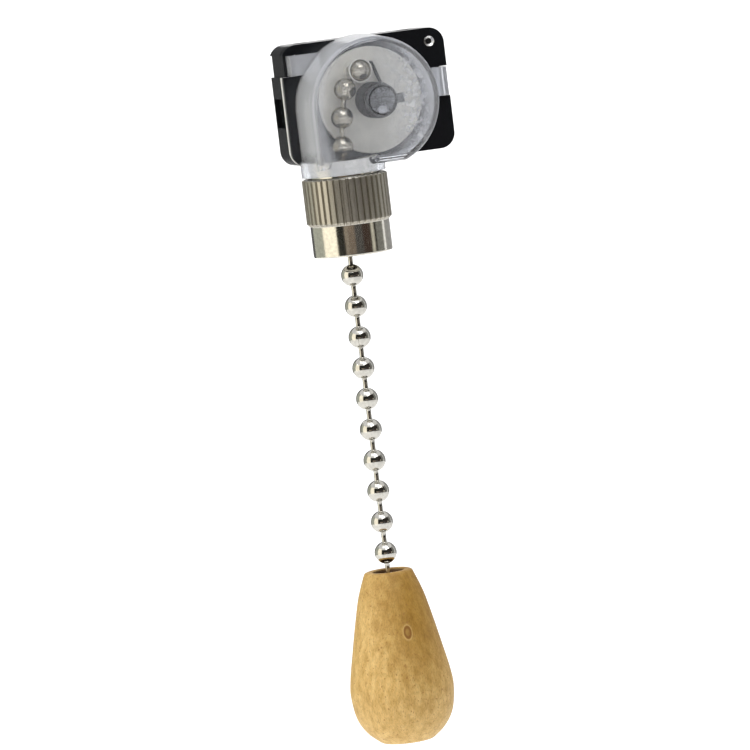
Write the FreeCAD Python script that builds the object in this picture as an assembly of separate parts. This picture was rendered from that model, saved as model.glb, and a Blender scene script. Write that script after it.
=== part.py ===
"""Pull cord switch: a canopy switch worked by a bead chain with a turned wooden pull.

Millimetres. The origin is on the axis of the threaded bushing, in the plane of the shoulder that
seats on the panel. +Z runs up into the housing, the clear cover faces -Y, and the pull hangs along -Z.
"""
import FreeCAD, Part

import math
import os

V = FreeCAD.Vector

# ---- bead chain
BEAD_R = 1.6
BEAD_WALL = 0.28
PITCH = 4.6                     # bead centre to bead centre
ROD_R = 0.36
HEAD_R = 0.62                   # upset ends that keep a rod inside its beads
BEAD_HOLE_R = 0.44
HOLE_CUT = (0.4, 1.3)           # a hole's cutter starts and ends here, in bead radii
SLOT_STEP_DEG = 6
HEAD_CLEAR = 0.05
LINK_CLEAR = 0.07               # gap that opens the loop of drum, anchor rod and chain
PIVOT = V(-0.6, 0, -10.45)      # bead in the bushing's mouth, which the free chain swings about
LEAN_DEG = 2.5                  # the chain slides at this angle to the bushing
# beads above the pivot bead, (x, z): the chain is slack indoors, so they sit closer than its pitch
GUIDE_XZ = ((-0.45, -6.89), (-0.29, -3.32), (-0.14, 0.24), (0.13, 3.89), (0.67, 8.14), (1.6, 12.2))
ANCHOR = V(4.08, 0, 14.69)      # bead held by the drum
STROKE = 7.45                   # chain travel for the drum's quarter turn
OUTER_BEADS = 10
SWING_DEG = 30
TILT_DEG = 20

# ---- chain drum and what it turns on
DRUM = V(5.9, 0, 10.1)
DRUM_DISC_R = 7.9
DISC_Y = (1.78, 2.5)
ARBOR_R = 1.95
ARBOR_FRONT_Y = -3.3
PIN_R = 0.8
PIN_BORE_R = 0.85
SOCKET_R = 1.8
SOCKET_STEPS = 12               # places along the stroke where the socket is relieved for the next bead
SPRING_WIRE_R = 0.25
SPRING_COIL_R = 2.42
SPRING_TURNS = 6
SPRING_BACK_Y = 1.25
SPRING_FRONT_Y = -2.75
HOOK = V(6.5, 0, 15.5)          # where the spring's moving leg hooks into the disc

# ---- black contact housing
BODY_W = 25.2
BODY_X = 5.93
BODY_Z = (1.5, 19.5)
PLATE_Y = (2.7, 3.5)
CARD_Y = (3.5, 3.9)
BODY_Y = (3.9, 9.7)
BODY_CORNER = 2.3
BODY_WALL = 1.2
BACK_WALL = 1.0
LEFT_NOTCH_Z = (14.9, 18.1)
RIGHT_NOTCH_Z = (9.2, 13.6)
NOTCH_DEEP = 2.4
NOTCH_FLOOR_Y = 6.6
LEFT_ARM_IN = 1.1               # the snap arms stand this far inside the housing's sides
RIGHT_ARM_IN = 0.45
SIDE_STEP = 0.6                 # the side steps in this far beside the left arm
HOOK_Y = (4.0, 4.5)             # snap hooks, behind the plate and the card
HOOK_REACH = 0.4                # how far a hook goes past its notch
SIDE_RECESS = (0.7, (4.6, 8.9), (7.4, 11.7))
RIVET_XZ = ((16.2, 17.5), (-3.0, 3.9))
RIVET_R = 0.55
RIVET_BORE_R = 0.42
RIVET_MOUTH_R = 0.74
RIVET_MOUTH_DEEP = 0.26
RIVET_HEAD_R = 0.8
WIRE_R = 1.15
WIRE_Y = 6.3
WIRE_X = (-2.6, 13.6)
WIRE_DEEP = 4.0

# ---- contact works inside it
ROTOR_R = 5.0
ROTOR_Y = (4.4, 6.7)
BRIDGE_Y = (6.7, 7.0)
LEAF_Y = (7.06, 7.31)
CLAW_Y = (3.95, 4.8)
CLAW_DEG = (0, 90, 180, 270)

# ---- clear cover
COVER = V(4.91, 0, 9.98)
COVER_R_BACK = 10.0
COVER_R_FRONT = 9.6
COVER_WALL = 0.8
COVER_Y = (-5.1, 2.7)
COVER_LEFT_OUT = 0.3            # how far the straight left side stands outside the round
COVER_FOOT = 1.0
NECK_R = 6.2
NECK_TOP = 2.3
NECK_FLOOR = 0.8
TAB_T = 1.0

# ---- bushing and nut
THREAD_R = 5.0
THREAD_ROOT_R = 4.45
THREAD_PITCH = 1.0
BUSH_BORE_R = 3.2
BUSH_HEAD_R = 5.2
BUSH_HEAD_Z = (0.85, 2.1)
BUSH_END = -11.6
NUT_TOP = -0.3
KNURL_LONG = 7.0
NUT_LONG = 11.6
KNURL_R = 6.3
KNURL_ROOT_R = 5.98
KNURLS = 40
NUT_BAND_R = 5.85
NUT_BORE_R = 5.06

# ---- wooden pull, as distance below its top face and radius
PULL_GAP = 2.7                  # last free bead's centre to the pull's top face
PULL_LONG = 25.5
PULL_OUTLINE = ((0.5, 3.72), (3.6, 4.85), (7.5, 5.8), (11.5, 6.65), (15.5, 7.45), (18.2, 7.68),
                (21.5, 7.15), (23.7, 5.9), (25.2, 4.25))
PULL_TOP_R = 3.35
PULL_FOOT_R = 3.3
PULL_WELL_R = 2.15
PULL_WEB = (3.9, 4.7)
PULL_HOLE_R = 0.6
PULL_BORE_R = 2.2


def tube_along(axis, centre, start, end, r):
    """A round bar of radius r along one row axis, from start to end on that axis."""
    at = V(*centre)
    setattr(at, axis, start)
    way = V(axis == "x", axis == "y", axis == "z")
    return Part.makeCylinder(r, end - start, at, way)


def block(x, y, z):
    """A box between pairs of limits."""
    return Part.makeBox(x[1] - x[0], y[1] - y[0], z[1] - z[0], V(x[0], y[0], z[0]))


def edges_at(solid, axis, place):
    """Edges whose ends both lie in one plane across an axis, named X, Y or Z."""
    return [e for e in solid.Edges if all(abs(getattr(v, axis) - place) < 1e-6 for v in e.Vertexes)]


def rounded_block(x, y, z, radius):
    """A box whose four edges along Y are rounded."""
    solid = block(x, y, z)
    edges = [e for e in solid.Edges if abs(e.tangentAt(e.FirstParameter).y) > 0.99]
    return solid.makeFillet(radius, edges)


def turned(points, centre=V(0, 0, 0)):
    """A solid of revolution about the vertical through centre, from (radius, height) points."""
    wire = Part.makePolygon([V(r, 0, z) for r, z in points + [points[0]]])
    solid = Part.Face(wire).revolve(V(0, 0, 0), V(0, 0, 1), 360)
    solid.translate(V(centre.x, centre.y, 0))
    return solid


def rod(start, end, radius):
    """A round rod between two points."""
    way = end - start
    return Part.makeCylinder(radius, way.Length, start, way)


def turn_y(point, centre, degrees):
    """A point turned about the +Y axis through centre."""
    a = math.radians(degrees)
    d = point - centre
    return centre + V(d.x * math.cos(a) + d.z * math.sin(a), d.y, -d.x * math.sin(a) + d.z * math.cos(a))


# ---- the chain's run, worked out from the drum and the pivot bead

RISE = V(math.sin(math.radians(LEAN_DEG)), 0, math.cos(math.radians(LEAN_DEG)))
GUIDE = [PIVOT] + [V(x, 0, z) for x, z in GUIDE_XZ]
LAP = GUIDE[-1]


def lap_seen_from_drum(share):
    """The last guide bead's centre at a share of the stroke, in the frame that turns with the drum."""
    return turn_y(LAP - RISE * (STROKE * share), DRUM, 90 * share)


REST_WAY = LAP - ANCHOR
END_WAY = lap_seen_from_drum(1) - ANCHOR
REST_DEG = math.degrees(math.atan2(REST_WAY.x, -REST_WAY.z))
END_DEG = math.degrees(math.atan2(END_WAY.x, -END_WAY.z))
LINK_TURN_DEG = END_DEG - REST_DEG      # the anchor rod's turn in the drum over a full stroke
OUTER = [PIVOT - V(0, 0, PITCH * (i + 1)) for i in range(OUTER_BEADS)]
PULL_TOP = OUTER[-1].z - PULL_GAP
CAPTIVE = [OUTER[-1] - V(0, 0, PITCH * (i + 1)) for i in range(2)]


def hole_cutter(centre, way):
    """Cutter for a bead's hole along a unit direction."""
    start, end = HOLE_CUT
    return rod(centre + way * (BEAD_R * start), centre + way * (BEAD_R * end), BEAD_HOLE_R)


def bead(centre, ways, slot=None):
    """A hollow bead with a hole along each direction; slot gives (way, axis, first and last degrees)."""
    ball = Part.makeSphere(BEAD_R, centre)
    ball = ball.cut(Part.makeSphere(BEAD_R - BEAD_WALL, centre))
    for way in ways:
        ball = ball.cut(hole_cutter(centre, V(*way).normalize()))
    if slot:
        way, axis, low, high = slot
        steps = max(2, round(abs(high - low) / SLOT_STEP_DEG))
        for i in range(steps + 1):
            turn = FreeCAD.Rotation(axis, low + (high - low) * i / steps)
            ball = ball.cut(hole_cutter(centre, turn.multVec(V(*way).normalize())))
    return ball


def link(start, end, head_start=True, head_end=True):
    """A rod between two bead centres, upset inside each bead."""
    way = (end - start).normalize()
    inset = BEAD_R - BEAD_WALL - HEAD_R - HEAD_CLEAR
    a = start + way * inset
    b = end - way * inset if head_end else end
    solid = rod(a, b, ROD_R)
    if head_start:
        solid = solid.fuse(Part.makeSphere(HEAD_R, a))
    if head_end:
        solid = solid.fuse(Part.makeSphere(HEAD_R, b))
    else:
        solid = solid.fuse(Part.makeSphere(ROD_R, b))
    return solid.removeSplitter()


DOWN = (0, 0, -1)
UP = (0, 0, 1)


def guide_beads():
    """Beads from the slotted pivot bead in the mouth up to the last one beside the drum."""
    solids = [bead(PIVOT, [tuple(GUIDE[1] - PIVOT)], (DOWN, V(0, 1, 0), -SWING_DEG, SWING_DEG))]
    stops = GUIDE + [ANCHOR]
    for below, at, above in zip(stops, stops[1:], stops[2:]):
        solids.append(bead(at, [tuple(below - at), tuple(above - at)]))
    return solids


def guide_links():
    """Rods of the same run."""
    return [link(a, b) for a, b in zip(GUIDE, GUIDE[1:])]


def anchor_bead():
    """The bead held by the drum, slotted so that its rod can swing as the drum turns."""
    return [bead(ANCHOR, [tuple(REST_WAY)], (tuple(REST_WAY), V(0, -1, 0), 0, LINK_TURN_DEG))]


def anchor_link():
    """The rod from the drum's bead to the next one, which ends just clear of it."""
    reach = REST_WAY.Length - BEAD_R - ROD_R - LINK_CLEAR
    return [link(ANCHOR, ANCHOR + (LAP - ANCHOR).normalize() * reach, head_end=False)]


def outer_beads():
    """The free beads; the last one is slotted for the pull's tilt."""
    solids = [bead(at, [UP, DOWN]) for at in OUTER[:-1]]
    solids.append(bead(OUTER[-1], [UP], (DOWN, V(1, 0, 0), -TILT_DEG, TILT_DEG)))
    return solids


def outer_links():
    """Rods of the free chain."""
    stops = [PIVOT] + OUTER
    return [link(a, b) for a, b in zip(stops, stops[1:])]


def pull_beads():
    """Two beads inside the pull; the lower one can't pass its web."""
    return [bead(CAPTIVE[0], [UP, DOWN]), bead(CAPTIVE[1], [UP])]


def pull_links():
    """Rods that carry the pull."""
    return [link(OUTER[-1], CAPTIVE[0]), link(CAPTIVE[0], CAPTIVE[1])]


# ---- drum, pin and spring

def drum_bar(start, end, radius):
    """A round bar on the drum's axis."""
    return tube_along("y", DRUM, start, end, radius)


def claws(radius, clearance):
    """Four claws across the axis, where the drum drives the contact rotor."""
    reach = radius - clearance
    half = 0.45 - clearance
    bars = []
    for degrees in CLAW_DEG:
        bar = block((DRUM.x + 1.0, DRUM.x + reach), (CLAW_Y[0], CLAW_Y[1] - clearance),
                    (DRUM.z - half, DRUM.z + half))
        bar.rotate(DRUM, V(0, 1, 0), degrees)
        bars.append(bar)
    return bars


def chain_drum():
    """Disc with an arbor in front for the spring, a bead socket, and claws through the plate."""
    solid = drum_bar(*DISC_Y, DRUM_DISC_R)
    rim = [e for e in solid.Edges if e.Length > 30]
    solid = solid.makeFillet(0.25, rim)
    solid = solid.fuse(drum_bar(ARBOR_FRONT_Y, DISC_Y[0], ARBOR_R))
    solid = solid.fuse(drum_bar(DISC_Y[1], CLAW_Y[0], ARBOR_R))
    solid = solid.multiFuse(claws(ARBOR_R, 0.06))
    socket = tube_along("y", ANCHOR, -0.9, DISC_Y[0], SOCKET_R)
    solid = solid.fuse(socket).cut(Part.makeSphere(BEAD_R + 0.02, ANCHOR))
    for step in range(SOCKET_STEPS + 1):
        lap = lap_seen_from_drum(step / SOCKET_STEPS)
        solid = solid.cut(Part.makeSphere(BEAD_R + 0.12, lap))
        solid = solid.cut(rod(ANCHOR, ANCHOR + (lap - ANCHOR).normalize() * SOCKET_R * 1.2, ROD_R * 2))
    solid = solid.cut(tube_along("y", ANCHOR, -2.0, 0.0, BEAD_R + 0.02))
    solid = solid.cut(drum_bar(-9, 9, PIN_BORE_R))
    return [solid.cut(tube_along("y", HOOK, 1.0, DISC_Y[1] + 0.1, SPRING_WIRE_R + 0.05))]


def pivot_pin():
    """Steel pin from the cover's front to the back of the housing."""
    solid = drum_bar(COVER_Y[0] + COVER_WALL - 0.35, BODY_Y[1] - BACK_WALL + 0.6, PIN_R)
    return [solid.fuse(drum_bar(-4.25, -3.75, 2.15))]


def spring_cap():
    """Grey cap that keeps the spring on the arbor, with a peg for the spring's fixed leg."""
    solid = drum_bar(-3.7, -3.35, 2.45)
    solid = solid.fuse(block((DRUM.x + 2.2, DRUM.x + 3.5), (-3.7, -3.35), (DRUM.z - 0.7, DRUM.z + 0.7)))
    solid = solid.cut(tube_along("y", DRUM + V(2.95, 0, 0), -5, 0, SPRING_WIRE_R + 0.04))
    return [solid.cut(drum_bar(-5, 5, PIN_R + 0.005))]


def return_spring():
    """Torsion spring round the arbor: a moving leg to the disc and a fixed leg in the cap."""
    pitch = (SPRING_BACK_Y - SPRING_FRONT_Y) / SPRING_TURNS
    coil = Part.makeHelix(pitch, SPRING_BACK_Y - SPRING_FRONT_Y, SPRING_COIL_R)
    coil.rotate(V(0, 0, 0), V(1, 0, 0), 90)
    coil.translate(V(DRUM.x, SPRING_BACK_Y, DRUM.z))
    start = coil.Vertexes[0].Point
    section = Part.Wire(Part.makeCircle(SPRING_WIRE_R, start, V(0, -pitch, 2 * math.pi * SPRING_COIL_R)))
    body = Part.Wire(coil).makePipeShell([section], True, True)
    front = coil.Vertexes[-1].Point
    tail = V(DRUM.x + 2.95, front.y, DRUM.z)
    knee = V(HOOK.x, start.y, HOOK.z)
    pieces = [rod(start, knee, SPRING_WIRE_R), Part.makeSphere(SPRING_WIRE_R, start),
              Part.makeSphere(SPRING_WIRE_R, knee), rod(knee, V(knee.x, DISC_Y[1], knee.z), SPRING_WIRE_R),
              Part.makeSphere(SPRING_WIRE_R, front), rod(front, tail, SPRING_WIRE_R),
              Part.makeSphere(SPRING_WIRE_R, tail), rod(tail, V(tail.x, -3.7, tail.z), SPRING_WIRE_R)]
    return [body.multiFuse(pieces)]


# ---- clear cover

def cover_outline(y, wall):
    """The cover's outline at one depth: a round over the drum, straight down its left side."""
    share = (y - COVER_Y[0]) / (COVER_Y[1] - COVER_Y[0])
    r = COVER_R_FRONT + (COVER_R_BACK - COVER_R_FRONT) * share - wall
    left = COVER.x - r - COVER_LEFT_OUT
    foot = COVER_FOOT + wall
    right = COVER.x + math.sqrt(max(r * r - (foot - COVER.z) ** 2, 0))
    top = V(COVER.x, y, COVER.z + r)
    a, b, c = V(left, y, COVER.z), V(left, y, foot), V(right, y, foot)
    middle = V(COVER.x + r * math.cos(math.radians(20)), y, COVER.z + r * math.sin(math.radians(20)))
    shoulder = COVER + V(-r * math.cos(math.pi / 4), y, r * math.sin(math.pi / 4))
    edges = [Part.LineSegment(a, b).toShape(), Part.LineSegment(b, c).toShape(),
             Part.Arc(c, middle, top).toShape(), Part.Arc(top, shoulder, a).toShape()]
    return Part.Wire(edges)


def clear_cover():
    """Round cup over the drum, a neck down to the bushing and two snap tabs."""
    shell = Part.makeLoft([cover_outline(COVER_Y[0], 0), cover_outline(COVER_Y[1], 0)], True, True)
    shell = shell.makeFillet(0.7, edges_at(shell, "Y", COVER_Y[0]))
    neck = tube_along("z", V(0, 0, 0), 0, NECK_TOP, NECK_R)
    neck = neck.common(block((-9, 9), (-9, PLATE_Y[0]), (0, NECK_TOP)))
    collar = tube_along("z", V(0, 0, 0), 0, BODY_Z[0] - 0.1, NECK_R)
    shell = shell.multiFuse([neck, collar])
    depths = (COVER_Y[0] + COVER_WALL, COVER_Y[1] + 0.2)
    hollow = Part.makeLoft([cover_outline(y, COVER_WALL) for y in depths], True, True)
    shell = shell.cut(hollow)
    pocket = tube_along("z", V(0, 0, 0), NECK_FLOOR, NECK_TOP - 0.1, BUSH_HEAD_R + 0.05)
    shell = shell.cut(pocket)
    shell = shell.cut(tube_along("z", V(0, 0, 0), -1, 2, THREAD_R + 0.05))
    seat = drum_bar(COVER_Y[0] + COVER_WALL - 0.2, COVER_Y[0] + COVER_WALL + 0.05, 2.4)
    shell = shell.fuse(seat.cut(drum_bar(-9, 9, 1.95)))
    shell = shell.cut(drum_bar(COVER_Y[0] + COVER_WALL - 0.36, 0, PIN_R + 0.01))
    return [shell.multiFuse(snap_tabs()).removeSplitter()]


def snap_tabs():
    """Arms from the cup's rim, through the plate's notches, to a hook behind the housing's ledge."""
    body_left = BODY_X - BODY_W / 2
    body_right = BODY_X + BODY_W / 2
    y = PLATE_Y[0]
    arms = []
    for low, high, side, out, rim, way in (
            (*LEFT_NOTCH_Z, body_left, body_left + LEFT_ARM_IN, COVER.x - 5.6, 1),
            (*RIGHT_NOTCH_Z, body_right, body_right - RIGHT_ARM_IN, COVER.x + 8.9, -1)):
        z = (low + 0.1, high - 0.1)
        hook_end = side + (NOTCH_DEEP + HOOK_REACH) * way
        arms.append(block(sorted((out, rim)), (y - TAB_T, y - 0.02), z))
        arms.append(block(sorted((out, out + way)), (y - TAB_T, HOOK_Y[1]), z))
        arms.append(block(sorted((out, hook_end)), HOOK_Y, z))
    return arms


# ---- black housing

def body_x():
    """Left and right faces of the housing."""
    return BODY_X - BODY_W / 2, BODY_X + BODY_W / 2


def notches(y):
    """Side notches for the cover's snap arms."""
    left, right = body_x()
    return [block((left - 1, left + NOTCH_DEEP), y, LEFT_NOTCH_Z),
            block((right - NOTCH_DEEP, right + 1), y, RIGHT_NOTCH_Z)]


def rivet_holes(solid, radius):
    """Clearance for the corner rivets."""
    for x, z in RIVET_XZ:
        solid = solid.cut(tube_along("y", V(x, 0, z), 0, 12, radius))
    return solid


def front_plate():
    """Black plate over the contact chamber, with a hole for the drum's drive."""
    solid = rounded_block(body_x(), PLATE_Y, BODY_Z, BODY_CORNER)
    solid = solid.cut(drum_bar(0, 9, ARBOR_R + 0.12))
    for notch in notches((0, 9)):
        solid = solid.cut(notch)
    return [rivet_holes(solid, RIVET_R + 0.01)]


def insulating_card():
    """White card between the plate and the housing; its edge shows along the lower left."""
    left, right = body_x()
    z = (BODY_Z[0] + 0.1, BODY_Z[1] - 0.3)
    solid = rounded_block((left - 0.12, right - 0.2), CARD_Y, z, BODY_CORNER)
    solid = solid.cut(drum_bar(0, 9, ARBOR_R + 0.12))
    solid = solid.cut(block((left - 1, left + NOTCH_DEEP), (0, 9), (LEFT_NOTCH_Z[0], 30)))
    solid = solid.cut(notches((0, 9))[1])
    return [rivet_holes(solid, RIVET_R + 0.01)]


def contact_housing():
    """Black moulded tray: wire bosses on top, side recess, and a pocket for the contact works."""
    left, right = body_x()
    solid = rounded_block((left, right), BODY_Y, BODY_Z, BODY_CORNER)
    solid = solid.makeFillet(0.6, edges_at(solid, "Y", BODY_Y[1]))
    room = block((left + BODY_WALL, right - BODY_WALL), (BODY_Y[0] - 1, BODY_Y[1] - BACK_WALL),
                 (BODY_Z[0] + BODY_WALL, BODY_Z[1] - BODY_WALL))
    solid = solid.cut(room)
    top = BODY_Z[1]
    for x in WIRE_X:
        boss = block((x - 2.0, x + 2.0), (BODY_Y[0], BODY_Y[1] - 0.5), (top - WIRE_DEEP, top - 0.5))
        solid = solid.fuse(boss)
    left_notch, right_notch = notches((BODY_Y[0] - 1, NOTCH_FLOOR_Y))
    solid = solid.cut(right_notch)
    solid = solid.cut(left_notch.common(block((left + LEFT_ARM_IN - 0.1, right), (0, 9), LEFT_NOTCH_Z)))
    hook_room = (left + LEFT_ARM_IN, left + NOTCH_DEEP + HOOK_REACH + 0.1)
    solid = solid.cut(block(hook_room, (BODY_Y[0] - 1, HOOK_Y[1] + 0.1), LEFT_NOTCH_Z))
    solid = solid.cut(block((left - 1, left + SIDE_STEP), (0, BODY_Y[1] + 1), LEFT_NOTCH_Z))
    for x, z in RIVET_XZ:
        solid = solid.fuse(tube_along("y", V(x, 0, z), BODY_Y[0], BODY_Y[1] - 0.3, 1.35))
    solid = solid.fuse(drum_bar(BODY_Y[1] - BACK_WALL - 0.4, BODY_Y[1] - 0.3, 1.8))
    solid = solid.cut(drum_bar(0, BODY_Y[1] - BACK_WALL + 0.6, PIN_R + 0.005))
    for x in WIRE_X:
        solid = solid.cut(tube_along("z", V(x, WIRE_Y, 0), top - WIRE_DEEP - 0.1, top + 0.1, WIRE_R))
    deep, y, z = SIDE_RECESS
    solid = solid.cut(block((left - 1, left + deep), y, z))
    sink = (BODY_Y[1] - 0.35, BODY_Y[1] + 1, RIVET_HEAD_R + 0.1)
    for x, z in RIVET_XZ:
        solid = solid.cut(tube_along("y", V(x, 0, z), *sink))
    return [rivet_holes(solid, RIVET_R + 0.01).removeSplitter()]


def corner_rivets():
    """Tubular rivets through the housing, card and plate, each with a flared mouth in front."""
    solids = []
    front = PLATE_Y[0] - 0.22
    back = BODY_Y[1] - 0.35
    for x, z in RIVET_XZ:
        at = V(x, 0, z)
        solid = tube_along("y", at, front, back + 0.25, RIVET_R)
        for start, end in ((front, PLATE_Y[0]), (back, back + 0.25)):
            solid = solid.fuse(tube_along("y", at, start, end, RIVET_HEAD_R))
        mouth = Part.makeCone(RIVET_MOUTH_R, RIVET_BORE_R, RIVET_MOUTH_DEEP, V(x, front, z), V(0, 1, 0))
        solids.append(solid.cut(tube_along("y", at, 0, 12, RIVET_BORE_R)).cut(mouth))
    return solids


# ---- contact works

def contact_rotor():
    """White cam wheel with four lobes, driven by the drum's claws."""
    solid = drum_bar(*ROTOR_Y, ROTOR_R)
    for degrees in CLAW_DEG:
        scoop = tube_along("y", DRUM + V(ROTOR_R + 1.1, 0, 0), *ROTOR_Y, 2.0)
        scoop.rotate(DRUM, V(0, 1, 0), degrees + 45)
        solid = solid.cut(scoop)
    solid = solid.cut(drum_bar(ROTOR_Y[0] - 1, CLAW_Y[1], ARBOR_R + 0.1))
    drivers = drum_bar(ROTOR_Y[0], CLAW_Y[1], ARBOR_R + 0.1)
    for claw in claws(ARBOR_R + 0.3, -0.06):
        drivers = drivers.cut(claw)
    drivers = drivers.cut(drum_bar(0, 9, 1.06))
    solid = solid.fuse(drivers)
    return [solid.cut(drum_bar(0, 9, PIN_BORE_R)).removeSplitter()]


def contact_bridge():
    """Copper strip on the back of the rotor that joins the two leaves every second step."""
    strip = block((DRUM.x - 4.4, DRUM.x + 4.4), BRIDGE_Y, (DRUM.z - 1.3, DRUM.z + 1.3))
    return [strip.cut(drum_bar(0, 9, PIN_R + 0.2))]


def terminal(x):
    """Brass wire clip under a wire hole, with a thin leaf that reaches to the rotor's back."""
    top = BODY_Z[1] - WIRE_DEEP - 0.15
    cage = block((x - 1.6, x + 1.6), (WIRE_Y - 1.7, WIRE_Y + 1.9), (top - 4.2, top))
    cage = cage.cut(block((x - 1.25, x + 1.25), (WIRE_Y - 1.35, WIRE_Y + 1.55), (top - 5, top + 1)))
    spring = block((x - 1.3, x + 1.3), (WIRE_Y - 0.1, WIRE_Y + 0.1), (top - 3.6, top - 0.6))
    spring.rotate(V(x, WIRE_Y, top - 2), V(1, 0, 0), 24)
    room = block((x - 2, x + 2), (WIRE_Y - 1.4, WIRE_Y + 1.6), (top - 4.2, top))
    return cage.fuse(spring.common(room))


def contact_leaf(x, side):
    """Phosphor-bronze leaf from a terminal to the rotor's back face."""
    foot = block((x - 1.2, x + 1.2), (LEAF_Y[0], LEAF_Y[1]), (DRUM.z - 1.0, 11.1))
    tip_x = DRUM.x + 2.2 * side
    arm = block((min(x, tip_x), max(x, tip_x)), (LEAF_Y[0], LEAF_Y[1]), (DRUM.z - 1.0, DRUM.z + 0.8))
    return [foot.fuse(arm).removeSplitter()]


def detent_spring():
    """Bent steel strip under the rotor that rests in the cam's hollows."""
    z = BODY_Z[0] + BODY_WALL
    strip = block((DRUM.x - 5.5, DRUM.x + 5.5), (4.9, 6.3), (z + 0.05, z + 0.3))
    rise = turned([(0.0, z + 0.2), (1.1, z + 0.2), (1.1, z + 1.2), (0.0, z + 1.2)], V(DRUM.x, 5.6, 0))
    return [strip.fuse(rise)]


# ---- bushing, nut and pull

def threaded_bushing():
    """Hollow threaded bushing with a round head that sits in the cover's neck."""
    points = [(BUSH_BORE_R, BUSH_HEAD_Z[1]), (BUSH_HEAD_R, BUSH_HEAD_Z[1]), (BUSH_HEAD_R, BUSH_HEAD_Z[0]),
              (THREAD_R, BUSH_HEAD_Z[0])]
    z = -0.4
    while z - THREAD_PITCH > BUSH_END + 0.3:
        points += [(THREAD_R, z), (THREAD_ROOT_R, z - 0.4)]
        points += [(THREAD_ROOT_R, z - 0.5), (THREAD_R, z - 0.9)]
        z -= THREAD_PITCH
    points += [(THREAD_R, BUSH_END + 0.5), (THREAD_R - 0.4, BUSH_END)]
    points += [(BUSH_BORE_R + 0.6, BUSH_END), (BUSH_BORE_R, BUSH_END + 0.8)]
    key_flat = block((-9, 9), (PLATE_Y[0] - 0.1, 9), (BODY_Z[0] - 0.1, 9))
    return [turned(points).cut(key_flat)]


def knurled_nut():
    """Long nut: straight knurl above, a plain turned band below."""
    band_top = NUT_TOP - KNURL_LONG
    foot = NUT_TOP - NUT_LONG
    knurl = Part.makeCylinder(KNURL_R, KNURL_LONG, V(0, 0, band_top))
    depth = KNURL_R - KNURL_ROOT_R
    groove = Part.makePolygon([V(KNURL_ROOT_R, 0, 0), V(KNURL_R + 0.1, -depth * 0.95, 0),
                               V(KNURL_R + 0.1, depth * 0.95, 0), V(KNURL_ROOT_R, 0, 0)])
    cutter = Part.Face(groove).extrude(V(0, 0, KNURL_LONG + 2))
    cutter.translate(V(0, 0, band_top - 1))
    cutters = []
    for i in range(KNURLS):
        copy = cutter.copy()
        copy.rotate(V(0, 0, 0), V(0, 0, 1), 360 / KNURLS * i)
        cutters.append(copy)
    knurl = knurl.cut(Part.makeCompound(cutters))
    envelope = turned([(0.0, NUT_TOP), (KNURL_ROOT_R, NUT_TOP), (KNURL_R, NUT_TOP - 0.3),
                       (KNURL_R, band_top + 0.25), (KNURL_ROOT_R, band_top), (0.0, band_top)])
    knurl = knurl.common(envelope)
    round_r = 0.8
    band = Part.makeCylinder(NUT_BAND_R, band_top - foot, V(0, 0, foot))
    lower = [e for e in band.Edges if abs(e.BoundBox.ZMax - foot) < 1e-6]
    band = band.makeFillet(round_r, lower)
    nut = knurl.fuse(band).cut(tube_along("z", V(0, 0, 0), foot - 1, 1, NUT_BORE_R))
    return [nut]


def wood_pull():
    """Pear-shaped turned pull, with a well on top, a web that holds the chain, and a bore below."""
    outline = Part.BSplineCurve()
    outline.interpolate([V(r, 0, -t) for t, r in PULL_OUTLINE])
    first, last = PULL_OUTLINE[0], PULL_OUTLINE[-1]
    corners = [V(last[1], 0, -last[0]), V(PULL_FOOT_R, 0, -PULL_LONG), V(0, 0, -PULL_LONG), V(0, 0, 0),
               V(PULL_TOP_R, 0, 0), V(first[1], 0, -first[0])]
    edges = [outline.toShape()] + [Part.LineSegment(a, b).toShape() for a, b in zip(corners, corners[1:])]
    solid = Part.Face(Part.Wire(edges)).revolve(V(0, 0, 0), V(0, 0, 1), 360)
    well = Part.makeCylinder(PULL_WELL_R, PULL_WEB[0], V(0, 0, -PULL_WEB[0]))
    hole = Part.makeCylinder(PULL_HOLE_R, 4, V(0, 0, -PULL_WEB[1] - 1))
    bore = Part.makeCylinder(PULL_BORE_R, PULL_LONG - PULL_WEB[1], V(0, 0, -PULL_LONG))
    solid = solid.cut(well).cut(hole).cut(bore)
    solid.translate(V(PIVOT.x, 0, PULL_TOP))
    return [solid]


NODES = {
    "contact_housing": contact_housing,
    "front_plate": front_plate,
    "insulating_card": insulating_card,
    "corner_rivets": corner_rivets,
    "clear_cover": clear_cover,
    "threaded_bushing": threaded_bushing,
    "knurled_nut": knurled_nut,
    "pivot_pin": pivot_pin,
    "chain_drum": chain_drum,
    "spring_cap": spring_cap,
    "return_spring": return_spring,
    "contact_rotor": contact_rotor,
    "contact_bridge": contact_bridge,
    "line_terminal": lambda: [terminal(WIRE_X[0])],
    "load_terminal": lambda: [terminal(WIRE_X[1])],
    "line_contact_leaf": lambda: contact_leaf(WIRE_X[0], -1),
    "load_contact_leaf": lambda: contact_leaf(WIRE_X[1], 1),
    "detent_spring": detent_spring,
    "anchor_bead": anchor_bead,
    "anchor_link": anchor_link,
    "guide_beads": guide_beads,
    "guide_links": guide_links,
    "outer_beads": outer_beads,
    "outer_links": outer_links,
    "pull_beads": pull_beads,
    "pull_links": pull_links,
    "wood_pull": wood_pull,
}

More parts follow.
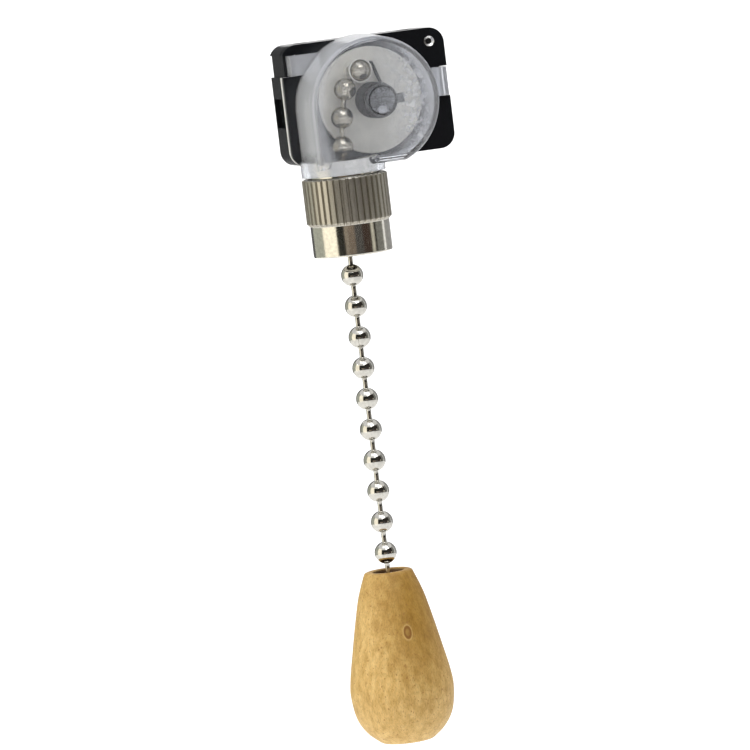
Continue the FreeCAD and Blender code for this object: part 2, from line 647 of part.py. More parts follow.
os.makedirs("parts", exist_ok=True)
print("link turn degrees", round(LINK_TURN_DEG, 3), "pull top", round(PULL_TOP, 3))
for name, make in NODES.items():
    solids = [s for shape in make() for s in shape.Solids]
    whole = solids[0] if len(solids) == 1 else Part.makeCompound(solids)
    whole.exportStep(f"parts/{name}.step")
    box = whole.BoundBox
    low = " ".join(f"{v:.2f}" for v in (box.XMin, box.YMin, box.ZMin))
    high = " ".join(f"{v:.2f}" for v in (box.XMax, box.YMax, box.ZMax))
    print(f"{name:20s} {len(solids):2d} valid={whole.isValid()} vol={whole.Volume:.3f} {low} to {high}")
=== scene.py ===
import math

import bmesh
import bpy
from mathutils import Matrix, Vector


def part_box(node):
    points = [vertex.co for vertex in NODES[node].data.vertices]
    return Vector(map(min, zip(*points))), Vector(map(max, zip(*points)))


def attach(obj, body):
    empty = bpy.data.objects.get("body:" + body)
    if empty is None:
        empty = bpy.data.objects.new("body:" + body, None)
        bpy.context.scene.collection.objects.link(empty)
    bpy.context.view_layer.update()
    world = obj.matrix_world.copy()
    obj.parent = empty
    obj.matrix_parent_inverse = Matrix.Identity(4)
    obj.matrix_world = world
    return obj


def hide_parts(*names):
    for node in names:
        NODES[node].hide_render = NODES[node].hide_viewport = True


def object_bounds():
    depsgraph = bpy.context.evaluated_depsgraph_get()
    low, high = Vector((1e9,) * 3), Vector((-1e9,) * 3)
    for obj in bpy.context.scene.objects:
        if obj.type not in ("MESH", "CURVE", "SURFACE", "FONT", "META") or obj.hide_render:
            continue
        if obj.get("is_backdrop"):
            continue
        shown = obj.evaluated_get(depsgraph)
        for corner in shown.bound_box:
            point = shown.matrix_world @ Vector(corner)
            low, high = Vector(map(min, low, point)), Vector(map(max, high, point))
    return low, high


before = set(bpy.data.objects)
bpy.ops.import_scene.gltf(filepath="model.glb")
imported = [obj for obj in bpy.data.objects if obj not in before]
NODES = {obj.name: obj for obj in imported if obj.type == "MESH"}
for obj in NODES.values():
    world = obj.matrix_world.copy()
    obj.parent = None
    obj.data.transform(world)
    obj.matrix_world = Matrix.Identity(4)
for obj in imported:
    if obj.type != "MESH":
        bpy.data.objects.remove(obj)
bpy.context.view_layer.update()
MM = 0.001


# ---------- driving sizes, in millimetres unless the name says otherwise ----------

BEAD_R = 1.65
BEAD_LIP = 0.3                        # depth of the turned-in edge of a bead's hole
BEAD_HOLE_R = 0.42
SEAM_HALF_DEG = 2.2                   # half width of a bead's seam
SEAM_DEEP = 0.06
PITCH = 4.6
ROD_R = 0.36
PIVOT = Vector((-0.6, 0, -10.45))     # bead in the bushing's mouth
OUTER_BEADS = 10
PULL_BEADS = 2
# beads indoors, from the one above the mouth's to the one below the drum's own, (x, z)
GUIDE_XZ = ((-0.45, -6.89), (-0.29, -3.32), (-0.14, 0.24), (0.13, 3.89), (0.67, 8.14), (1.6, 12.2))
ANCHOR_XZ = (4.08, 14.69)             # the drum's own bead
ROD_END_CLEAR = 0.07                  # gap at the open pivot
DRUM_XZ = (5.9, 10.1)
WINDOW_Y = -4.1                       # the cover's flat window lies in front of this depth
# the window inside its hazy margin: centre, half sizes
WINDOW_CLEAR = ((4.5, 0, 8.5), (8.6, 50, 12.5))
# below these depths the rivet's bore is painted near-black as painted shade
RIVET_BORE_SHADE_Y = (2.66, 2.78)          # depths where a rivet's flared mouth turns into its dark bore

KNURLS = 40
KNURL_DEEP = 0.34
KNURL_LONG = 7.0
LAND = 0.26                           # half width of a tooth's land, in parts of its pitch
FLANK = 0.13
NUT_BAND_R = 5.85
NUT_BORE_R = 5.06

# pull: distance below its top face, radius
PULL_OUTLINE = (
    (0.5, 3.72), (3.6, 4.85), (7.5, 5.8), (11.5, 6.65), (15.5, 7.45),
    (18.2, 7.68), (21.5, 7.15), (23.7, 5.9), (25.2, 4.25),
)
PULL_BORE_R = 2.2                     # its well in the top and its bore from below
PULL_WELL_DEEP = 3.9                  # from the top face to the well's bottom
PULL_SEAT_DEEP = 4.7                  # from the top face to the end of the lower bore
ROD_HOLE_R = 0.6                      # hole between the two, for the rod
KNOT = (-0.49, -6.06, -67.86)
KNOT_SIZE = (0.62, 3, 1.0)            # half sizes of its ring
KNOT_REACH = 1.4                      # its halo, in parts of the ring's size
# painted shade, darker and warmer across the pull's middle as seen from the front: centre, half sizes
PAINTED_MIDDLE_SHADE = ((1.5, 0, -64), (7.5, 50, 17))

CAMERA_AZ = math.radians(-16.33)
CAMERA_EL = math.radians(5.56)
CAMERA_ROLL = math.radians(6.88)
CAMERA_FAR = 0.8202
LENS = 266.9
AIM = Vector((1.106, 0.245, -30.169)) * MM


# ---------- meshes ----------

def piece(name, verts, faces, body, sharp_deg=35):
    """A smooth-shaded object from points in millimetres, riding on a body."""
    mesh = bpy.data.meshes.new(name)
    mesh.from_pydata([Vector(v) * MM for v in verts], [], faces)
    mesh.validate()
    work = bmesh.new()
    work.from_mesh(mesh)
    bmesh.ops.recalc_face_normals(work, faces=work.faces)
    work.to_mesh(mesh)
    work.free()
    mesh.polygons.foreach_set("use_smooth", [True] * len(mesh.polygons))
    mesh.set_sharp_from_angle(angle=math.radians(sharp_deg))
    mesh.update()
    made = bpy.data.objects.new(name, mesh)
    bpy.context.collection.objects.link(made)
    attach(made, body)
    return made


def even_angles(sides):
    return [2 * math.pi * i / sides for i in range(sides)]


def turned(profile, angles, place=Matrix.Identity(4), shape=None):
    """Points and faces of a closed (radius, height) profile turned about Z."""
    verts = []
    for angle in angles:
        for radius, height in profile:
            if shape:
                radius = shape(radius, height, angle)
            spot = Vector((radius * math.cos(angle), radius * math.sin(angle), height))
            verts.append(place @ spot)
    count = len(profile)
    faces = []
    for i in range(len(angles)):
        j = (i + 1) % len(angles)
        for k in range(count):
            m = (k + 1) % count
            faces.append((i * count + k, j * count + k, j * count + m, i * count + m))
    return verts, faces


def join(parts):
    """Several (points, faces) pairs as one."""
    verts, faces = [], []
    for more_verts, more_faces in parts:
        start = len(verts)
        verts += more_verts
        faces += [tuple(start + i for i in face) for face in more_faces]
    return verts, faces


def arc(centre, radius, start_deg, end_deg, steps):
    """Points of an arc in the profile plane."""
    spots = []
    for i in range(steps + 1):
        angle = math.radians(start_deg + (end_deg - start_deg) * i / steps)
        spots.append((centre[0] + radius * math.cos(angle), centre[1] + radius * math.sin(angle)))
    return spots


def rounded(corners, radius, steps=4):
    """The closed outline with each corner rounded, or its own radius if it has one."""
    spots = []
    count = len(corners)
    for i, corner in enumerate(corners):
        r = corner[2] if len(corner) > 2 else radius
        here = Vector(corner[:2])
        back = Vector(corners[i - 1][:2]) - here
        on = Vector(corners[(i + 1) % count][:2]) - here
        if r <= 0:
            spots.append(tuple(here))
            continue
        half = back.angle(on) / 2
        reach = min(r / math.tan(half), back.length * 0.49, on.length * 0.49)
        a = here + back.normalized() * reach
        b = here + on.normalized() * reach
        for k in range(steps + 1):
            t = k / steps
            spot = a * (1 - t) ** 2 + here * 2 * t * (1 - t) + b * t * t
            spots.append(tuple(spot))
    return spots


def curve_through(points, steps):
    """Catmull-Rom points through a profile."""
    ends = [points[0], *points, points[-1]]
    spots = []
    for i in range(1, len(ends) - 2):
        p0, p1, p2, p3 = (Vector(p) for p in ends[i - 1:i + 3])
        for k in range(steps):
            t = k / steps
            spot = 0.5 * (2 * p1 + (p2 - p0) * t + (2 * p0 - 5 * p1 + 4 * p2 - p3) * t * t
                          + (3 * p1 - p0 - 3 * p2 + p3) * t ** 3)
            spots.append(tuple(spot))
    spots.append(tuple(points[-1]))
    return spots


# ---------- chain ----------

def bead(centre, way, seam_deg):
    """A bead rolled from strip: a seam along one side, and edges turned in at its two holes."""
    edge = math.degrees(math.acos(BEAD_HOLE_R / BEAD_R))
    side = arc((0, 0), BEAD_R, 0, edge, 11)
    high = side[-1][1]
    side += [(BEAD_HOLE_R - 0.05, high - 0.03), (BEAD_HOLE_R - 0.08, high - BEAD_LIP),
             (0.02, high - BEAD_LIP)]
    profile = [(r, -h) for r, h in reversed(side[1:])] + side
    seam = math.radians(SEAM_HALF_DEG)
    angles = [0.0, seam] + [a for a in even_angles(36) if seam < a < 2 * math.pi - seam]
    angles.append(2 * math.pi - seam)

    def pinch(radius, height, angle):
        return radius - SEAM_DEEP if angle == 0.0 and radius > BEAD_HOLE_R else radius

    place = Matrix.Translation(centre) @ way.to_track_quat("Z", "Y").to_matrix().to_4x4()
    place = place @ Matrix.Rotation(math.radians(seam_deg), 4, "Z")
    return turned(profile, angles, place, pinch)


def rod(start, end, open_end=False):
    """A rod between two bead centres, flared where it goes in. An open end stops at the end point."""
    way = end - start
    long = way.length
    neck = BEAD_R - BEAD_LIP - 0.2
    side = [(0.02, neck - 0.05), (ROD_R + 0.06, neck), (ROD_R + 0.04, BEAD_R - 0.14),
            (ROD_R, BEAD_R + 0.1)]
    far = [(ROD_R, long - 0.1), (ROD_R - 0.1, long), (0.02, long)]
    profile = side + (far if open_end else [(r, long - h) for r, h in reversed(side)])
    place = Matrix.Translation(start) @ way.to_track_quat("Z", "Y").to_matrix().to_4x4()
    return turned(profile, even_angles(20), place)


def run_of_beads(spots, first_seam):
    """A bead at each spot, in line with its neighbours, no two seams the same way round."""
    parts = []
    for i, spot in enumerate(spots):
        way = spots[min(i + 1, len(spots) - 1)] - spots[max(i - 1, 0)]
        parts.append(bead(spot, way, first_seam + 137.5 * i))
    return parts


def run_of_rods(spots):
    """A rod between each spot and the next."""
    return [rod(a, b) for a, b in zip(spots, spots[1:])]


def chain_piece(name, parts, body, *nodes):
    """One piece of chain that stands in for some CAD nodes."""
    made = piece(name, *join(parts), body)
    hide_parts(*nodes)
    return made


def indoor_chain():
    """The slack beads in the bushing and cover, and the drum's own bead with its rod."""
    spots = [PIVOT] + [Vector((x, 0, z)) for x, z in GUIDE_XZ]
    anchor = Vector((ANCHOR_XZ[0], 0, ANCHOR_XZ[1]))
    guide = chain_piece("guide_bead_chain", run_of_beads(spots, 75) + run_of_rods(spots), "guide_chain",
                        "guide_beads", "guide_links")
    way = spots[-1] - anchor
    top = chain_piece("drum_bead", [bead(anchor, way, 200)], "drum", "anchor_bead")
    reach = way.length - BEAD_R - ROD_END_CLEAR
    stub_rod = rod(anchor, anchor + way.normalized() * reach, True)
    stub = chain_piece("drum_bead_rod", [stub_rod], "anchor_rod", "anchor_link")
    return [guide, top, stub]


def captive_chain(foot):
    """The last rods and the two beads inside the pull."""
    spots = [foot - Vector((0, 0, PITCH * i)) for i in range(PULL_BEADS + 1)]
    parts = run_of_beads(spots, 160)[1:] + run_of_rods(spots)
    return chain_piece("pull_bead_chain", parts, "pull_hanger", "pull_beads", "pull_links")


def nurbs_line(points):
    """Points along a NURBS spline that has these control points."""
    curve = bpy.data.curves.new("route", "CURVE")
    curve.dimensions = "3D"
    curve.resolution_u = 16
    spline = curve.splines.new("NURBS")
    spline.points.add(len(points) - 1)
    for control, point in zip(spline.points, points):
        control.co = (*point, 1)
    spline.order_u = 3
    spline.use_endpoint_u = True
    holder = bpy.data.objects.new("route", curve)
    mesh = bpy.data.meshes.new_from_object(holder)
    line = [v.co.copy() for v in mesh.vertices]
    bpy.data.objects.remove(holder)
    bpy.data.curves.remove(curve)
    bpy.data.meshes.remove(mesh)
    return line


def along(line, distance):
    """The point at a distance along a polyline."""
    left = distance
    for a, b in zip(line, line[1:]):
        step = (b - a).length
        if left <= step:
            return a + (b - a) * (left / step)
        left -= step
    return line[-1]


def free_chain():
    """The free run, from where it leaves the bead in the mouth to the bead above the pull."""
    foot = PIVOT - Vector((0, 0, PITCH * OUTER_BEADS))
    out = PIVOT - Vector((0, 0, BEAD_R))
    line = nurbs_line([out.lerp(foot, share) for share in (0, 0.35, 0.7, 1)])
    spots = [along(line, PITCH * i - BEAD_R) for i in range(1, OUTER_BEADS + 1)]
    parts = run_of_beads(spots, 20) + run_of_rods([PIVOT] + spots)
    chain = chain_piece("free_bead_chain", parts, "free_chain", "outer_beads", "outer_links")
    return chain, line, foot


# ---------- nut ----------

def tooth(angle):
    """Height of the knurl at an angle, 0 in a groove to 1 on a land."""
    phase = abs((angle * KNURLS / (2 * math.pi) + 0.5) % 1 - 0.5)
    return min(1, max(0, 1 - (phase - LAND) / FLANK))


def tooth_angles():
    fractions = (-0.26, -0.13, 0, 0.13, 0.26, 0.39, 0.45, 0.55, 0.61)
    step = 2 * math.pi / KNURLS
    return [step * (i + f) for i in range(KNURLS) for f in fractions]


def nut():
    """Long nut: straight knurl above, a plain turned band below."""
    low, high = (Vector(c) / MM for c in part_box("knurled_nut"))
    knurl_r = (high.x - low.x) / 2
    top, foot = high.z, low.z
    knurl_foot = top - KNURL_LONG
    axis = (low + high) / 2

    def knurled(radius, height, angle):
        if radius <= NUT_BAND_R + 0.02:
            return radius
        return radius - KNURL_DEEP * (radius - NUT_BAND_R) / (knurl_r - NUT_BAND_R) * (1 - tooth(angle))

    profile = rounded(
        [(NUT_BORE_R, top - 0.35, 0.05), (NUT_BORE_R + 0.3, top, 0.05), (knurl_r - 0.42, top, 0.06),
         (knurl_r, top - 0.2, 0.12), (knurl_r, knurl_foot + 0.45, 0.12), (NUT_BAND_R, knurl_foot, 0.05),
         (NUT_BAND_R, foot, 0.5), (NUT_BORE_R + 0.2, foot, 0.04),
         (NUT_BORE_R, foot + 0.2, 0.04)], 0.1, 5)
    verts, faces = turned(profile, tooth_angles(), Matrix.Translation((axis.x, axis.y, 0)), knurled)
    made = piece("turned_nut", verts, faces, "nut", 40)
    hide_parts("knurled_nut")
    return made


# ---------- pull ----------

def wood_pull():
    """Turned wooden pull, bored from both ends for the chain."""
    low, high = (Vector(c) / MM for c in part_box("wood_pull"))
    top, foot = high.z, low.z
    well, seat = top - PULL_WELL_DEEP, top - PULL_SEAT_DEEP
    outside = curve_through([(r, top - t) for t, r in PULL_OUTLINE], 8)
    crown = [(PULL_BORE_R, well), (PULL_BORE_R - 0.05, top - 0.4), (PULL_BORE_R + 0.15, top - 0.08),
             (2.6, top), (3.2, top), (3.5, top - 0.12), (3.65, top - 0.32)]
    base = [(3.9, foot + 0.08), (3.3, foot), (2.6, foot), (PULL_BORE_R + 0.15, foot + 0.12),
            (PULL_BORE_R, foot + 0.5), (PULL_BORE_R, seat), (ROD_HOLE_R, seat), (ROD_HOLE_R, well)]
    profile = crown + outside + base
    place = Matrix.Translation((PIVOT.x, 0, 0))
    made = piece("wooden_pull", *turned(profile, even_angles(96), place), "pull")
    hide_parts("wood_pull")
    return made


# ---------- materials ----------

def shader(name, **sockets):
    """A new material with a Principled shader. Keyword names are socket names."""
    material = bpy.data.materials.new(name)
    material.use_nodes = True
    tree = material.node_tree
    bsdf = tree.nodes["Principled BSDF"]
    for socket, value in sockets.items():
        bsdf.inputs[socket.replace("_", " ").title().replace("Ior", "IOR")].default_value = value
    return material, tree, bsdf


def node(tree, kind, links=None, **values):
    """A node with its properties and unlinked inputs set, and its inputs linked."""
    made = tree.nodes.new(kind)
    for key, value in values.items():
        if key[0] == "_":
            made.inputs[key[1:].replace("_", " ")].default_value = value
        else:
            setattr(made, key, value)
    for key, socket in (links or {}).items():
        tree.links.new(socket, made.inputs[key])
    return made


def place_coords(tree, scale):
    """Object coordinates stretched by a scale for each axis."""
    coords = node(tree, "ShaderNodeTexCoord")
    return node(tree, "ShaderNodeMapping", {"Vector": coords.outputs["Object"]}, _Scale=scale).outputs[0]


def noise(tree, scale, detail):
    """Noise over object coordinates. One scale serves all three axes, or each has its own."""
    scales = scale if isinstance(scale, tuple) else (scale,) * 3
    coords = place_coords(tree, scales)
    return node(tree, "ShaderNodeTexNoise", {"Vector": coords}, _Detail=detail).outputs[0]


def ramp(tree, factor, stops):
    made = node(tree, "ShaderNodeValToRGB", {"Fac": factor})
    while len(made.color_ramp.elements) < len(stops):
        made.color_ramp.elements.new(0.5)
    for element, (place, colour) in zip(made.color_ramp.elements, stops):
        element.position = place
        element.color = (*colour, 1) if len(colour) == 3 else colour
    return made.outputs["Color"]


def grey(value):
    return (value, value, value)


def bump(tree, bsdf, height, strength, distance_mm):
    distance = distance_mm * MM
    made = node(tree, "ShaderNodeBump", {"Height": height}, _Strength=strength, _Distance=distance)
    tree.links.new(made.outputs["Normal"], bsdf.inputs["Normal"])


def plated(name, dark, light, roughness, bump_mm=0.01, spots=450):
    """Plated or bare metal: blotches of tone and fine uneven polish."""
    material, tree, bsdf = shader(name, metallic=1.0)
    blotch = noise(tree, spots, 3.0)
    tree.links.new(ramp(tree, blotch, [(0.35, dark), (0.65, light)]), bsdf.inputs["Base Color"])
    fine = noise(tree, 2600, 2.0)
    rough = ramp(tree, fine, [(0.3, grey(roughness * 0.75)), (0.75, grey(roughness * 1.4))])
    tree.links.new(rough, bsdf.inputs["Roughness"])
    bump(tree, bsdf, fine, 0.15, bump_mm)
    return material


def nut_plating(foot):
    """Nickel plate: a polished band below and duller, darker knurling above."""
    material, tree, bsdf = shader("nut_nickel", metallic=1.0)
    tone = ramp(tree, noise(tree, 450, 3.0), [(0.35, (0.55, 0.53, 0.48)), (0.65, (0.64, 0.62, 0.56))])
    knurl = across(tree, "Z", foot, foot + 0.12)
    fine = noise(tree, 2600, 3.0)
    dull = ramp(tree, fine, [(0.35, (0.34, 0.32, 0.27)), (0.65, (0.52, 0.49, 0.43))])
    tree.links.new(mixed(tree, knurl, tone, dull), bsdf.inputs["Base Color"])
    tree.links.new(mixed(tree, knurl, grey(0.12), grey(0.4)), bsdf.inputs["Roughness"])
    bump(tree, bsdf, fine, 0.2, 0.015)
    return material


def moulded(name, colour, roughness, grain_mm=0.35, strength=0.1, spread=0.06, **sockets):
    """Moulded plastic: slight tone drift, a fine surface grain."""
    material, tree, bsdf = shader(name, **sockets)
    drift = noise(tree, 160, 3.0)
    low = tuple(c * (1 - spread) for c in colour)
    high = tuple(min(1, c * (1 + spread)) for c in colour)
    tree.links.new(ramp(tree, drift, [(0.3, low), (0.7, high)]), bsdf.inputs["Base Color"])
    fine = noise(tree, 1 / grain_mm / MM, 4.0)
    rough = ramp(tree, fine, [(0.3, grey(roughness * 0.8)), (0.7, grey(roughness * 1.25))])
    tree.links.new(rough, bsdf.inputs["Roughness"])
    bump(tree, bsdf, fine, strength, 0.02)
    return material


def hub_metal():
    """Dull grey metal of the hub, with a brighter spot low on its face."""
    material, tree, bsdf = shader("hub_metal", metallic=1.0)
    mottle = noise(tree, 900, 4.0)
    tone = ramp(tree, mottle, [(0.4, grey(0.02)), (0.6, grey(0.42))])
    centre = Vector((DRUM_XZ[0] - 0.15, -4.25, DRUM_XZ[1] - 1.4))
    spot = ramp(tree, offset_from(tree, centre, (0.85, 0.6, 0.8)), [(0.7, grey(1)), (0.95, grey(0))])
    tree.links.new(mixed(tree, spot, tone, grey(0.62)), bsdf.inputs["Base Color"])
    tree.links.new(ramp(tree, mottle, [(0.3, grey(0.5)), (0.7, grey(0.7))]), bsdf.inputs["Roughness"])
    bump(tree, bsdf, mottle, 0.5, 0.1)
    return material


def eyelet_metal():
    """Bright rivet metal, with painted shade down in its bore."""
    material, tree, bsdf = shader("eyelet_metal", metallic=1.0)
    fine = noise(tree, 1500, 2.0)
    bright = ramp(tree, fine, [(0.3, grey(0.75)), (0.7, grey(0.9))])
    # painted shade: near-black colour deeper than the mouth of the bore
    dark = across(tree, "Y", RIVET_BORE_SHADE_Y[0], RIVET_BORE_SHADE_Y[1])
    tree.links.new(mixed(tree, dark, bright, grey(0.02)), bsdf.inputs["Base Color"])
    tree.links.new(ramp(tree, fine, [(0.3, grey(0.2)), (0.7, grey(0.3))]), bsdf.inputs["Roughness"])
    return material


def across(tree, axis, low, high):
    """Share of the way from one place to another along an axis, in millimetres."""
    coords = node(tree, "ShaderNodeTexCoord").outputs["Object"]
    parts = node(tree, "ShaderNodeSeparateXYZ", {"Vector": coords})
    ends = {"_From_Min": low * MM, "_From_Max": high * MM}
    return node(tree, "ShaderNodeMapRange", {"Value": parts.outputs[axis]}, **ends).outputs[0]


def clear_plastic():
    """Clear cover: its flat window is clearest on the left, its round side and neck are hazier."""
    material, tree, bsdf = shader("clear_plastic", base_color=(0.86, 0.88, 0.93, 1), ior=1.49)
    haze = noise(tree, 230, 3.0)
    blotch = ramp(tree, haze, [(0.38, grey(0.86)), (0.5, grey(0.78)), (0.62, grey(0.6))])
    window = mixed(tree, across(tree, "X", 5, 11), grey(0.95), blotch)
    margin = ramp(tree, offset_from(tree, *WINDOW_CLEAR), [(0.88, grey(0)), (1.0, grey(1))])
    window = mixed(tree, margin, window, grey(0.74))
    side = mixed(tree, across(tree, "Z", 1.2, 4), grey(0.9), grey(0.68))
    behind = across(tree, "Y", WINDOW_Y, WINDOW_Y + 0.5)
    tree.links.new(mixed(tree, behind, window, side), bsdf.inputs["Transmission Weight"])
    tree.links.new(mixed(tree, behind, grey(0.03), grey(0.15)), bsdf.inputs["Roughness"])
    bump(tree, bsdf, haze, 0.1, 0.05)
    return material


def offset_from(tree, centre, size):
    """How far a surface point is from a centre, in parts of an ellipsoid's three half sizes."""
    coords = node(tree, "ShaderNodeTexCoord").outputs["Object"]
    away = node(tree, "ShaderNodeVectorMath", operation="SUBTRACT")
    tree.links.new(coords, away.inputs[0])
    away.inputs[1].default_value = Vector(centre) * MM
    part = node(tree, "ShaderNodeVectorMath", operation="DIVIDE")
    tree.links.new(away.outputs[0], part.inputs[0])
    part.inputs[1].default_value = Vector(size) * MM
    far = node(tree, "ShaderNodeVectorMath", operation="LENGTH")
    tree.links.new(part.outputs[0], far.inputs[0])
    return far.outputs["Value"]


def mixed(tree, factor, first, second, blend="MIX"):
    """Two colours mixed. Each of the three may be a socket or a plain value."""
    made = node(tree, "ShaderNodeMix", data_type="RGBA", blend_type=blend)
    for socket, value in ((0, factor), (6, first), (7, second)):
        if isinstance(value, bpy.types.NodeSocket):
            tree.links.new(value, made.inputs[socket])
        else:
            made.inputs[socket].default_value = value if socket == 0 else (*value, 1)
    return made.outputs[2]


def wood():
    """Fine-grained wood: painted shade across its middle, dark specks, one knot and painted shade down
    its bore.
    """
    material, tree, bsdf = shader("wood", specular_ior_level=0.4)
    cloud = noise(tree, (230, 230, 110), 3.0)
    tone = ramp(tree, cloud, [(0.3, (0.56, 0.345, 0.1)), (0.5, (0.68, 0.44, 0.15)),
                              (0.7, (0.78, 0.54, 0.21))])
    # painted shade: the pull's middle is darkened and warmed, the same through all its depth
    from_shaded_middle = offset_from(tree, *PAINTED_MIDDLE_SHADE)
    middle_shade = ramp(tree, from_shaded_middle, [(0.2, grey(1)), (0.5, grey(0.75)), (1.0, grey(0))])
    tone = mixed(tree, middle_shade, tone, (0.62, 0.52, 0.26), "MULTIPLY")
    grain = noise(tree, (1300, 1300, 450), 5.0)
    lines = ramp(tree, grain, [(0.36, grey(0.72)), (0.56, grey(1.0))])
    tone = mixed(tree, 0.7, tone, lines, "MULTIPLY")
    speck = noise(tree, (640, 640, 520), 1.0)
    specks = ramp(tree, speck, [(0.66, grey(0)), (0.72, grey(0.75))])
    tone = mixed(tree, specks, tone, (0.33, 0.15, 0.04))
    tone = shaded_bore(tree, knotted(tree, tone))
    tree.links.new(tone, bsdf.inputs["Base Color"])
    rough = ramp(tree, grain, [(0.3, grey(0.62)), (0.7, grey(0.46))])
    tree.links.new(rough, bsdf.inputs["Roughness"])
    bump(tree, bsdf, grain, 0.2, 0.03)
    return material


def knotted(tree, tone):
    """The wood's tone with one small knot: a dark ring with a paler halo round it."""
    far = offset_from(tree, KNOT, Vector(KNOT_SIZE) * KNOT_REACH)
    halo = ramp(tree, far, [(0.66, grey(0)), (0.78, grey(0.45)), (0.86, grey(0.2)), (1.0, grey(0))])
    tone = mixed(tree, halo, tone, (0.78, 0.55, 0.22))
    core = ramp(tree, far, [(0.0, grey(0.35)), (0.3, grey(0.35)), (0.48, grey(0.95)), (0.64, grey(0.8)),
                            (0.74, grey(0))])
    return mixed(tree, core, tone, (0.24, 0.1, 0.02))


def shaded_bore(tree, tone):
    """The wood's tone, with painted shade down the hole in the pull's top."""
    middle = Vector((PIVOT.x, 0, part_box("wood_pull")[1][2] / MM - 2))
    # painted shade: dark brown down the well
    bore_shade = ramp(tree, offset_from(tree, middle, (2.6, 2.6, 9)), [(0.88, grey(0.9)), (0.94, grey(0))])
    return mixed(tree, bore_shade, tone, (0.1, 0.045, 0.02))


def finish_with(obj, material):
    obj.data.materials.clear()
    obj.data.materials.append(material)


# ---------- stage ----------

FLOOR_BELOW = 0.08                    # metres
FLOOR_HALF = 60                       # metres

# studio cards round the object: name, first and last direction in degrees from its front, low and high
# edges in metres, distance in metres, and brightness
CARDS = (
    ("back", -190, -157, -0.3, 0.33, 0.5, (0.14, 0.14, 0.14)),
    ("left", -157, -106, -0.3, 0.33, 0.5, (0.58, 0.6, 0.52)),
    ("key", -106, -59, -0.3, 0.33, 0.5, (1.7, 1.6, 1.35)),
    ("dark_left", -60, -2, -0.36, 0.27, 0.5, (0.03, 0.03, 0.025)),
    ("dark_right", -2, 62, -0.24, 0.36, 0.5, (0.045, 0.04, 0.035)),
    ("side", 62, 90, -0.3, 0.33, 0.5, (0.28, 0.28, 0.26)),
    ("far_side", 99, 150, -0.3, 0.33, 0.5, (0.42, 0.42, 0.42)),
    ("warm_edge", -36, -25, -0.115, -0.015, 0.49, (0.42, 0.36, 0.29)),
    ("warm", -25, -6, -0.115, -0.015, 0.49, (0.3, 0.24, 0.19)),
    ("grey", -6, 17, -0.115, -0.015, 0.49, (0.12, 0.115, 0.11)),
    ("brown", 17, 41, -0.115, -0.015, 0.49, (0.08, 0.055, 0.045)),
    ("strip", 44, 54, -0.115, -0.015, 0.49, (0.8, 0.77, 0.66)),
)


def stage_mesh(name, verts, faces, material):
    mesh = bpy.data.meshes.new(name)
    mesh.from_pydata(verts, [], faces)
    made = bpy.data.objects.new(name, mesh)
    bpy.context.collection.objects.link(made)
    made.data.materials.append(material)
    made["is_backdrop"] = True
    return made


def card(name, from_deg, to_deg, low, high, far, shade):
    """A curved studio card round the object, seen only in reflections."""
    material, _, _ = shader(name, base_color=(0, 0, 0, 1), roughness=1.0, specular_ior_level=0.0,
                            emission_color=(*shade, 1), emission_strength=1.0)
    steps = 12
    verts, faces = [], []
    for i in range(steps + 1):
        angle = math.radians(from_deg + (to_deg - from_deg) * i / steps)
        x, y = far * math.sin(angle), -far * math.cos(angle)
        verts += [(x, y, low), (x, y, high)]
        if i:
            faces.append((2 * i - 2, 2 * i, 2 * i + 1, 2 * i - 1))
    made = stage_mesh(name, verts, faces, material)
    made.visible_camera = False
    made.visible_transmission = max(shade) > 1
    return made


def area_light(name, azimuth_deg, elevation_deg, far, size, power, colour=(1, 1, 1)):
    light = bpy.data.lights.new(name, "AREA")
    light.energy = power
    light.size = size
    light.color = colour
    made = bpy.data.objects.new(name, light)
    bpy.context.collection.objects.link(made)
    az, el = math.radians(azimuth_deg), math.radians(elevation_deg)
    way = Vector((math.sin(az) * math.cos(el), -math.cos(az) * math.cos(el), math.sin(el)))
    made.location = AIM + way * far
    made.rotation_euler = way.to_track_quat("Z", "Y").to_euler()
    return made


def camera():
    """A long lens at the photograph's angle."""
    way = Vector((math.sin(CAMERA_AZ) * math.cos(CAMERA_EL), -math.cos(CAMERA_AZ) * math.cos(CAMERA_EL),
                  math.sin(CAMERA_EL)))
    right = Vector((math.cos(CAMERA_AZ), math.sin(CAMERA_AZ), 0))
    up = right.cross(-way)
    side = right * math.cos(CAMERA_ROLL) - up * math.sin(CAMERA_ROLL)
    top = right * math.sin(CAMERA_ROLL) + up * math.cos(CAMERA_ROLL)
    made = bpy.data.objects.new("camera", bpy.data.cameras.new("camera"))
    made.data.lens = LENS
    made.data.clip_start = 0.01
    bpy.context.collection.objects.link(made)
    turn = Matrix((side, top, way)).transposed().to_4x4()
    made.matrix_world = Matrix.Translation(AIM + way * CAMERA_FAR) @ turn
    bpy.context.scene.camera = made


def floor():
    """A wide pale floor below the pull."""
    material, _, _ = shader("floor", base_color=(0.93, 0.93, 0.93, 1), roughness=0.9,
                            emission_color=(1, 1, 1, 1), emission_strength=0.4)
    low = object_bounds()[0][2] - FLOOR_BELOW
    corners = [(-FLOOR_HALF, -FLOOR_HALF), (FLOOR_HALF, -FLOOR_HALF), (FLOOR_HALF, FLOOR_HALF),
               (-FLOOR_HALF, FLOOR_HALF)]
    stage_mesh("floor", [(x, y, low) for x, y in corners], [(0, 1, 2, 3)], material)


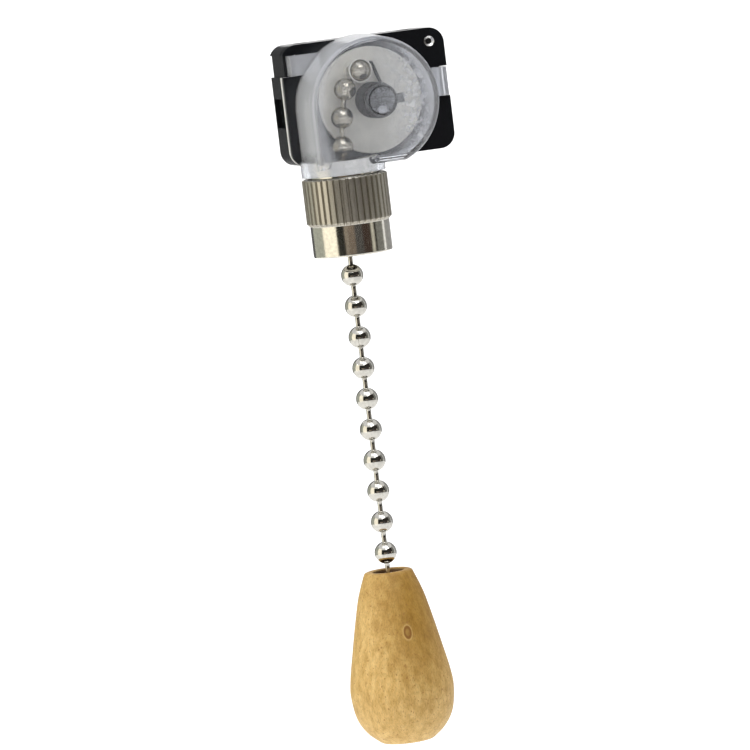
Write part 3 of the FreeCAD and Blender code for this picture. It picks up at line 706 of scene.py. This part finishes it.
def studio():
    """White surroundings, a floor, reflection cards and three soft lights."""
    world = bpy.data.worlds.new("studio")
    bpy.context.scene.world = world
    world.use_nodes = True
    background = world.node_tree.nodes["Background"]
    background.inputs["Color"].default_value = (1, 1, 1, 1)
    background.inputs["Strength"].default_value = 1.0
    bpy.context.scene.view_settings.view_transform = "Standard"
    floor()
    for name, *sizes in CARDS:
        card("card_" + name, *sizes)
    area_light("top", -30, 70, 0.8, 0.5, 1.2)
    area_light("front_top", 8, 48, 0.8, 0.45, 2.0)
    area_light("key_light", -88, 22, 0.8, 0.4, 8.0, (1, 0.96, 0.88))


# ---------- build ----------

def build():
    """All the pieces, with their materials."""
    nickel = plated("bead_nickel", (0.5, 0.485, 0.45), (0.6, 0.585, 0.545), 0.08)
    nut_nickel = plated("nut_nickel", (0.55, 0.53, 0.48), (0.64, 0.62, 0.56), 0.12)
    black = moulded("black_plastic", (0.006, 0.007, 0.009), 0.18, strength=0.05, specular_ior_level=0.5)
    # darker, golden nickel for the beads inside the cover; its dark blotches are painted reflections of
    # dark surroundings
    painted_reflection_nickel = plated("nickel_with_painted_reflections", (0.2, 0.165, 0.11), (0.62, 0.58, 0.48), 0.1, spots=900)
    cream = moulded("cream_plastic", (0.94, 0.895, 0.77), 0.45)
    # white for the contact rotor and the insulating card; the card's white edge between housing and
    # front plate is a painted highlight on the housing's front-left edge
    white_and_painted_edge_highlight = moulded("white_card", (0.8, 0.8, 0.78), 0.75)
    zinc = plated("zinc", (0.01, 0.01, 0.01), (0.19, 0.19, 0.18), 0.5, 0.1, spots=900)
    steel = plated("steel", (0.5, 0.5, 0.5), (0.62, 0.62, 0.62), 0.25)
    spring = plated("spring_steel", (0.008, 0.007, 0.006), (0.03, 0.024, 0.018), 0.45)
    brass = plated("brass", (0.7, 0.52, 0.25), (0.8, 0.62, 0.32), 0.25)
    copper = plated("copper", (0.75, 0.4, 0.27), (0.85, 0.5, 0.35), 0.25)
    bronze = plated("bronze", (0.6, 0.42, 0.26), (0.7, 0.5, 0.32), 0.3)
    chain, line, foot = free_chain()
    captive = captive_chain(foot)
    for obj in (chain, captive):
        finish_with(obj, nickel)
    for obj in indoor_chain():
        finish_with(obj, painted_reflection_nickel)
    knurl_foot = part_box("knurled_nut")[1][2] / MM - KNURL_LONG
    finish_with(nut(), nut_plating(knurl_foot))
    pull = wood_pull()
    finish_with(pull, wood())
    by_node = {
        # the insulating card's white edge is a painted highlight along the housing's front-left edge
        "contact_housing": black, "front_plate": black, "insulating_card": white_and_painted_edge_highlight,
        "corner_rivets": eyelet_metal(), "clear_cover": clear_plastic(), "threaded_bushing": nut_nickel,
        "pivot_pin": hub_metal(), "spring_cap": zinc, "chain_drum": cream, "return_spring": spring,
        "contact_rotor": white_and_painted_edge_highlight, "contact_bridge": copper, "line_terminal": brass,
        "load_terminal": brass, "line_contact_leaf": bronze, "load_contact_leaf": bronze,
        "detent_spring": steel,
    }
    for name, material in by_node.items():
        finish_with(NODES[name], material)


build()
camera()
studio()
